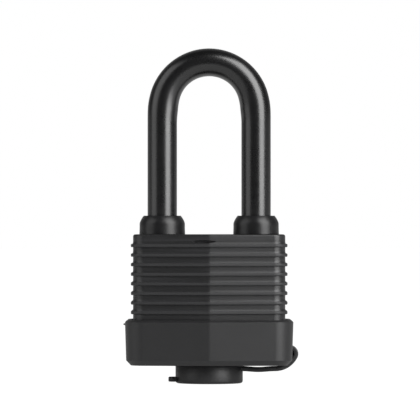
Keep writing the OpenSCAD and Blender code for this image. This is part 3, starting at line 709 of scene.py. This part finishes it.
class PADLOCK_OT_cover(bpy.types.Operator):
    """Mould the base cover with its shoulder, chamfer, spigot and strap slot"""

    bl_idname = "padlock.cover"
    bl_label = "Base cover"

    def execute(self, context):
        sizes = context.scene.padlock_cover
        body = context.scene.padlock_body
        wall = JACKET[1].x - body.rib_proud
        grow = COVER[1].x - wall
        top, low = COVER[1].z, COVER[0].z
        under = CAP[1].z + sizes.cap_gap
        floor = BOTTOM_PLATE[0].z - FIT
        bore = sizes.bore
        spigot = bore + sizes.spigot
        bm = bmesh.new()
        outside = [
            rounded_ring(bm, grow - sizes.chamfer, under),
            rounded_ring(bm, grow - sizes.draft, under + sizes.chamfer_rise),
            rounded_ring(bm, grow, top - sizes.shoulder),
            rounded_ring(bm, FIT + sizes.lip, top),
        ]
        inside = [rounded_ring(bm, FIT, top), rounded_ring(bm, FIT, floor)]
        bridge(bm, outside + inside)
        # The spigot narrows a little downwards, and has a chamfer round its rim.
        taper, chamfer = 0.18 * MM, 0.25 * MM
        tube = [
            round_ring(bm, 0, z, radius, 96) for z, radius in (
                (under, spigot), (low + chamfer, spigot - taper), (low, spigot - taper - 0.24 * MM),
                (low, bore), (floor, bore),
            )
        ]
        bridge(bm, tube)
        fill(bm, outside[0], tube[0])
        fill(bm, inside[1], tube[-1])
        tidy(bm)
        soften(bm, [e for r in outside for e in r if e.is_valid], sizes.rounding, 3)
        # The flake of flash, half sunk into the left end.
        bmesh.ops.create_cone(
            bm, cap_ends=True, segments=6, radius1=0.6 * MM, radius2=0.2 * MM, depth=sizes.flash * 2,
            matrix=Matrix.Translation((COVER[0].x, -4.5 * MM, top - sizes.shoulder - 0.55 * MM))
            @ Matrix.Rotation(math.radians(-90), 4, "Y") @ Matrix.Diagonal((0.75, 2.2, 1, 1)),
        )
        made = piece_of(
            "base_cover_moulding", bm,
            moulded_plastic(
                "Satin black ABS", context.scene.padlock_finishes.cover, roughness=0.44, grain=0.3 * MM
            ),
            "lock_body", "cover_plastic", "base_cover",
        )
        rubber = context.scene.padlock_rubber
        # The slot for the strap, then the seat for its head.
        for end, half, rise in (
            (COVER[1].x + 1 * MM, rubber.strap_width / 2 + LOOSE, rubber.strap / 2 + LOOSE),
            (COVER[1].x - rubber.anchor + FIT, sizes.seat, sizes.seat_rise),
        ):
            carve_block(made, (wall - 0.5 * MM, -half, ENTRY - rise), (end, half, ENTRY + rise))
        level(made)
        return {"FINISHED"}


class PADLOCK_OT_seals(bpy.types.Operator):
    """Mould the two rubber shackle seals"""

    bl_idname = "padlock.seals"
    bl_label = "Shackle seals"

    def execute(self, context):
        sizes = context.scene.padlock_rubber
        rubber = soft_rubber("Smooth EPDM rubber", context.scene.padlock_finishes.seal, roughness=0.34, bloom=0.3)
        outer, neck = sizes.seal, sizes.seal_neck
        bore, flange = ROD + sizes.seal_gap, (SEAL[1].x - SEAL[0].x) / 2
        top, foot, jacket_top = SEAL[1].z, SEAL[0].z, JACKET[1].z + 0.01 * MM
        flange_top = foot + sizes.seal_flange
        shoulder = [
            (outer - sizes.seal_shoulder * (i / 8) ** 1.6, top - sizes.seal_shoulder_rise * (1 - i / 8))
            for i in range(9)
        ]
        # From the bore out round the flange, up the seal's outside, and over the thin lip on the shackle.
        profile = [
            (bore, foot), (flange, foot), (flange, flange_top), (neck, flange_top), (neck, jacket_top),
            (outer, jacket_top), (outer + sizes.seal_foot, jacket_top + 0.06 * MM),
            (outer, jacket_top + 1.6 * MM), *shoulder,
            (bore + sizes.seal_lip, top), (bore + sizes.seal_lip * 0.8, top - 0.18 * MM),
            (bore + 0.08 * MM, top - 0.12 * MM), (bore, top - 0.3 * MM),
        ]
        for side, node in ((-1, "shackle_seal_left"), (1, "shackle_seal_right")):
            bm = bmesh.new()
            turned(bm, profile, side * LEG)
            tidy(bm)
            piece_of(node + "_moulding", bm, rubber, "lock_body", "seal_rubber", node, angle=40)
        return {"FINISHED"}


class PADLOCK_OT_cap(bpy.types.Operator):
    """Mould the keyway cap with its pull tab"""

    bl_idname = "padlock.cap"
    bl_label = "Keyway cap"

    def execute(self, context):
        sizes = context.scene.padlock_rubber
        radius, top = CAP[1].y, CAP[1].z
        inner = radius - sizes.cap_wall
        bend = sizes.cap_round
        arc = [(radius - bend + bend * s, bend - bend * c) for s, c in quarter(7)]
        # From the middle of the underside, over the rounded rim, to the middle of the floor inside.
        profile = [
            (0, 0), *arc, (radius, top - 0.22 * MM), (radius - 0.07 * MM, top - 0.07 * MM),
            (radius - 0.22 * MM, top), (inner + 0.1 * MM, top), (inner, top - 0.1 * MM),
            (inner, sizes.cap_floor + 0.2 * MM), (inner - 0.2 * MM, sizes.cap_floor), (0, sizes.cap_floor),
        ]
        bm = bmesh.new()
        turned(bm, profile, 0, closed=False)
        tidy(bm)
        before = set(bm.edges)
        half, end, root = sizes.tab_width / 2, radius + sizes.tab, radius - 0.3 * MM
        block(bm, (-end, -half, sizes.tab_low), (-root, half, sizes.tab_high))
        # The tab's upright corners at its free end, then its edges all round but at its root.
        corners = [e for e in newer(bm, before) if abs(span(e).z) > 0.5 * MM and e.verts[0].co.x < -radius]
        soften(bm, corners, sizes.tab_corner, 8)
        rims = [
            e for e in newer(bm, before) if abs(span(e).z) < 0.01 * MM
            and (abs(span(e).y) < 0.01 * MM or max(v.co.x for v in e.verts) < -root - 0.1 * MM)
        ]
        soften(bm, rims, sizes.tab_round, 3)
        bmesh.ops.recalc_face_normals(bm, faces=bm.faces)
        rubber = soft_rubber("Matt cap rubber", context.scene.padlock_finishes.cap, roughness=0.4, bloom=0.3)
        piece_of("keyway_cap_moulding", bm, rubber, "cap", "cap_rubber", "keyway_cap", angle=40)
        return {"FINISHED"}


class PADLOCK_OT_strap(bpy.types.Operator):
    """Mould the strap that ties the cap to the base cover"""

    bl_idname = "padlock.strap"
    bl_label = "Cap strap"

    def execute(self, context):
        sizes = context.scene.padlock_rubber
        t, w = sizes.strap, sizes.strap_width
        run_z = STRAP[0].z + t / 2
        # The strap starts just inside the cap's skirt.
        start = CAP[1].y - 0.4 * MM
        bend_x = COVER[1].x - sizes.strap_bend
        turn_r = sizes.strap_turn
        turn_x = STRAP[1].x - t / 2 - turn_r
        turn_z = ENTRY - turn_r
        # A wide bend starts level at bend_x, and runs smoothly into the turn back to the cover.
        rise, run = turn_z - run_z, turn_x - bend_x
        bend_r = (run * run + rise * rise - turn_r * turn_r) / (2 * (rise - turn_r))
        bend_end = math.atan2(rise - bend_r, run)
        bm = bmesh.new()
        made = bmesh.ops.create_grid(
            bm, x_segments=1, y_segments=1, size=0.5,
            matrix=Matrix.Translation((start, 0, run_z)) @ Matrix.Rotation(math.radians(90), 4, "Y")
            @ Matrix.Diagonal((t, w, 1, 1)),
        )
        soften(bm, made["verts"], sizes.strap_round, 4, "VERTICES")
        end = push(bm, bm.faces[:], (bend_x - start, 0, 0), 16)
        for centre, angle, steps in (
            ((bend_x, 0, run_z + bend_r), bend_end + math.pi / 2, 14),
            ((turn_x, 0, turn_z), math.pi / 2 - bend_end, 18),
        ):
            for _ in range(steps):
                verts, end = extrude(bm, end)
                bmesh.ops.rotate(bm, cent=centre, matrix=Matrix.Rotation(-angle / steps, 3, "Y"), verts=verts)
        mouth = COVER[1].x - sizes.anchor
        end = push(bm, end, (mouth - turn_x, 0, 0))
        verts, end = extrude(bm, end)
        bmesh.ops.scale(
            bm, vec=(1, (w / 2 + sizes.head) / (w / 2), (t / 2 + sizes.head) / (t / 2)), verts=verts,
            space=Matrix.Translation((0, 0, -ENTRY)),
        )
        push(bm, end, (-sizes.head_long, 0, 0))
        tidy(bm)
        for v in bm.verts:
            along = (v.co.x - start) / (bend_x - start)
            if 0 < along < 1 and v.co.z < run_z + t:
                v.co.z -= sizes.strap_sag * math.sin(math.pi * along) ** 2
            loop = min(1.0, max(0.0, (v.co.x - bend_x) / (turn_x - bend_x)))
            if v.co.x > mouth + 0.4 * MM:
                v.co.x -= sizes.strap_lean * loop * (v.co.y / w + 0.5)
        rubber = bpy.data.materials["Matt cap rubber"]
        made = piece_of("cap_strap_moulding", bm, rubber, None, "cap_rubber", "cap_strap", angle=50)
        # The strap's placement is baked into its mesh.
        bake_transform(made)
        return {"FINISHED"}


class PADLOCK_OT_shackle(bpy.types.Operator):
    """Bend the shackle from its coated rod and cut its notches"""

    bl_idname = "padlock.shackle"
    bl_label = "Shackle"

    def execute(self, context):
        sizes = context.scene.padlock_shackle
        heel, toe = SHACKLE[0].z, SPRING[1].z + FIT
        edge = LEG - ROD
        # Each notch starts a running gap below its bolt.
        notch = BOLT_PLATE[0].z - sizes.running_gap
        lift = next(j for j in frame["joints"] if j["name"] == "shackle_lift")["range_m"][1]
        neck = notch - lift
        bm = bmesh.new()
        bmesh.ops.create_circle(
            bm, cap_ends=True, radius=ROD - sizes.toe_edge, segments=64, matrix=Matrix.Translation((LEG, 0, toe))
        )
        centre = SHACKLE[1].z - SHACKLE[1].x + sizes.pinch + sizes.crown_thin / 2
        end = push(bm, bm.faces[:], (0, 0, sizes.toe_edge))
        widen = ROD / (ROD - sizes.toe_edge)
        bmesh.ops.scale(
            bm, vec=(widen, widen, 1), verts=end[0].verts[:], space=Matrix.Translation((-LEG, 0, 0))
        )
        rows, bends = 20, 12
        end = push(bm, end, (0, 0, centre - sizes.flare - toe - sizes.toe_edge), rows)
        end = push(bm, end, (0, 0, sizes.flare), bends)
        out = bmesh.ops.spin(
            bm, geom=end, cent=(0, 0, centre), axis=(0, -1, 0), angle=math.pi, steps=72, use_duplicate=False
        )
        bmesh.ops.delete(bm, geom=end, context="FACES_ONLY")
        end = [f for f in out["geom_last"] if isinstance(f, bmesh.types.BMFace)]
        end = push(bm, end, (0, 0, -sizes.flare), bends)
        push(bm, end, (0, 0, heel - centre + sizes.flare), rows)
        bmesh.ops.holes_fill(bm, edges=[e for e in bm.edges if len(e.link_faces) == 1], sides=0)
        tidy(bm)
        # The bend pulls the arch in, thickens the rod where it starts and thins it at the crown.
        for v in bm.verts:
            out_from = Vector((v.co.x, v.co.z - centre))
            if out_from.y < -sizes.flare:
                continue
            above = out_from.y > 0
            reach = out_from.length if above else abs(v.co.x)
            bent = out_from.y / reach if above else 0.0
            rise = LEG * bent if above else out_from.y
            path = LEG - sizes.pinch * ease((rise + sizes.flare) / (1.8 * sizes.flare))
            swell = sizes.spring_thick * (ease(1 + rise / sizes.flare) - bent) - sizes.crown_thin * ease(bent)
            away = path + (reach - LEG) * (1 + swell / (2 * ROD))
            if above:
                v.co.x, v.co.z = out_from.x * away / reach, centre + out_from.y * away / reach
            else:
                v.co.x = math.copysign(away, v.co.x)
        coating = coated_steel("Black coated steel", context.scene.padlock_finishes.shackle)
        made = piece_of("shackle_rod", bm, coating, "shackle", "black_steel", "shackle", angle=30)
        reach = ROD + 1 * MM
        tall = sizes.notch_height
        # The toe's notch, then the heel's notch and neck, and the flat between them.
        for left, right, low, high in (
            (edge - reach, edge + sizes.toe_notch, notch, notch + tall),
            (-edge - sizes.heel_notch, 0, notch, notch + tall),
            (-edge - sizes.heel_notch, 0, neck, neck + tall),
            (-edge - sizes.heel_flat, 0, neck + tall / 2, notch + tall / 2),
        ):
            carve_block(made, (left, -reach, low), (right, reach, high))
        # The neck is turned down all round, a hair past the other cuts so that no faces fall together.
        collar = bmesh.new()
        past = 0.02 * MM
        core = LEG - edge - sizes.heel_flat - past
        low, high = neck - past, neck + tall + past
        turned(collar, [(core, low), (reach, low), (reach, high), (core, high)], -LEG, 64)
        bmesh.ops.recalc_face_normals(collar, faces=collar.faces)
        carve(made, collar)
        made.data.shade_smooth()
        made.data.set_sharp_from_angle(angle=math.radians(30))
        level(made)
        return {"FINISHED"}


class PADLOCK_OT_studio(bpy.types.Operator):
    """Set up the camera, the lamps, the white backdrop and the floor"""

    bl_idname = "padlock.studio"
    bl_label = "Studio"

    def execute(self, context):
        sizes = context.scene.padlock_studio
        scene = context.scene
        scene.view_settings.view_transform = "Standard"

        camera = bpy.data.objects.new("Camera", bpy.data.cameras.new("Camera"))
        scene.collection.objects.link(camera)
        camera.data.sensor_width = 36.0
        camera.data.lens = 36.0 * sizes.distance / sizes.frame
        camera.data.clip_end = 50.0
        camera.location = (sizes.centre_x, -sizes.distance, sizes.camera_z)
        camera.rotation_euler = (math.radians(90) + math.atan2(sizes.centre_z - sizes.camera_z, sizes.distance), 0, 0)
        scene.camera = camera

        aim = Vector((0, 0, sizes.centre_z))
        far = 1.3
        # Azimuth and elevation in degrees, then width, height and radiance.
        for name, angle, rise, width, height, radiance in (
            ("Key", 46.5, 26, 0.96, 1.75, sizes.key), ("Fill", -68, 25, 1.05, 1.4, sizes.fill),
        ):
            lamp = bpy.data.lights.new(name, "AREA")
            lamp.shape = "RECTANGLE"
            lamp.size, lamp.size_y = width, height
            lamp.energy = radiance * math.pi * width * height
            light = bpy.data.objects.new(name, lamp)
            scene.collection.objects.link(light)
            turned_by, raised = math.radians(angle), math.radians(rise)
            way = Vector((
                math.sin(turned_by) * math.cos(raised), -math.cos(turned_by) * math.cos(raised), math.sin(raised)
            ))
            light.location = aim + way * far
            light.rotation_euler = (-way).to_track_quat("-Z", "Y").to_euler()

        world = bpy.data.worlds.new("Studio")
        scene.world = world
        world.use_nodes = True
        tree = world.node_tree
        tree.nodes.clear()
        direct, mirrored = ray_kinds(tree)
        side = add(tree, "ShaderNodeSeparateXYZ", links={0: add(tree, "ShaderNodeTexCoord").outputs["Generated"]})
        # In reflections, the white backdrop stands behind the padlock and the room in front is dark.
        behind = add(
            tree, "ShaderNodeMapRange", {"From Min": 0.3, "From Max": 0.9, "To Min": 0.02, "To Max": sizes.backdrop},
            {"Value": side.outputs["Y"]},
        )
        # On matt surfaces, the pale ceiling gives more light than the floor.
        above = add(
            tree, "ShaderNodeMapRange", {"From Min": -0.6, "To Min": sizes.room * 0.15, "To Max": sizes.room * 1.9},
            {"Value": side.outputs["Z"]},
        )
        around = add(
            tree, "ShaderNodeMix", links={0: mirrored, 2: above.outputs["Result"], 3: behind.outputs["Result"]}
        )
        strength = add(tree, "ShaderNodeMix", {3: 1.0}, {0: direct, 2: around.outputs[0]})
        sky = add(tree, "ShaderNodeBackground", {"Color": (1, 1, 1, 1)}, {"Strength": strength.outputs[0]})
        add(tree, "ShaderNodeOutputWorld", links={"Surface": sky.outputs[0]})

        bm = bmesh.new()
        half = 3.0
        bmesh.ops.create_grid(bm, x_segments=1, y_segments=1, size=half)
        floor = placed("Floor", bm)
        floor.location = (0, half - sizes.table, -0.02 * MM)
        paper, tree, where = finish("White backdrop paper")
        direct, mirrored = ray_kinds(tree)
        grain = add(tree, "ShaderNodeTexNoise", {"Scale": 1 / (2 * MM), "Detail": 2.0}, {"Vector": where})
        bump = add(
            tree, "ShaderNodeBump", {"Strength": 0.05, "Distance": 0.05 * MM}, {"Height": grain.outputs["Fac"]}
        )
        matt = add(
            tree, "ShaderNodeBsdfDiffuse", {"Color": linear("#b8b8b8")}, {"Normal": bump.outputs["Normal"]}
        )
        glow = add(tree, "ShaderNodeEmission", {"Color": (1, 1, 1, 1), "Strength": sizes.paper})
        # In reflections the paper is brighter behind the padlock, where the backdrop's lamps light it.
        depth = add(tree, "ShaderNodeSeparateXYZ", links={0: where})
        below = sizes.table - half
        lit = add(
            tree, "ShaderNodeMapRange",
            {"From Min": below - 0.05, "From Max": below + 0.05, "To Min": 0.08, "To Max": 0.4},
            {"Value": depth.outputs["Y"]},
        )
        dimmed = add(tree, "ShaderNodeMath", links={0: mirrored, 1: lit.outputs["Result"]}, operation="MULTIPLY")
        part = add(
            tree, "ShaderNodeMath", {1: 0.85}, {0: direct, 2: dimmed.outputs[0]}, operation="MULTIPLY_ADD"
        )
        mixed = add(
            tree, "ShaderNodeMixShader", links={0: part.outputs[0], 1: matt.outputs[0], 2: glow.outputs[0]}
        )
        add(tree, "ShaderNodeOutputMaterial", links={"Surface": mixed.outputs[0]})
        floor.data.materials.append(paper)
        return {"FINISHED"}


class PADLOCK_PT_panel(bpy.types.Panel):
    """Lists the padlock's pieces and sizes in the sidebar"""

    bl_idname = "PADLOCK_PT_panel"
    bl_label = "Padlock"
    bl_space_type = "VIEW_3D"
    bl_region_type = "UI"
    bl_category = "Padlock"

    def draw(self, context):
        for operator in PIECES:
            self.layout.operator(operator.bl_idname)
        for name in GROUPS:
            box = self.layout.box()
            box.label(text=name.replace("_", " ").capitalize())
            group = getattr(context.scene, name)
            for prop in group.bl_rna.properties:
                if prop.identifier not in {"rna_type", "name"}:
                    box.prop(group, prop.identifier)


GROUPS = {
    "padlock_body": BodySizes,
    "padlock_cover": CoverSizes,
    "padlock_rubber": RubberSizes,
    "padlock_shackle": ShackleSizes,
    "padlock_studio": Studio,
    "padlock_finishes": Finishes,
}
PIECES = (
    PADLOCK_OT_studio, PADLOCK_OT_finishes, PADLOCK_OT_jacket, PADLOCK_OT_cover, PADLOCK_OT_seals,
    PADLOCK_OT_cap, PADLOCK_OT_strap, PADLOCK_OT_shackle,
)
CLASSES = (*GROUPS.values(), *PIECES, PADLOCK_PT_panel)


def register():
    for each in CLASSES:
        bpy.utils.register_class(each)
    for name, group in GROUPS.items():
        setattr(bpy.types.Scene, name, bpy.props.PointerProperty(type=group))


def unregister():
    for name in GROUPS:
        delattr(bpy.types.Scene, name)
    for each in reversed(CLASSES):
        bpy.utils.unregister_class(each)


def main():
    register()
    bpy.ops.padlock.studio()
    bpy.ops.padlock.finishes()
    bpy.ops.padlock.jacket()
    bpy.ops.padlock.cover()
    bpy.ops.padlock.seals()
    bpy.ops.padlock.cap()
    bpy.ops.padlock.strap()
    bpy.ops.padlock.shackle()


if __name__ == "__main__":
    main()
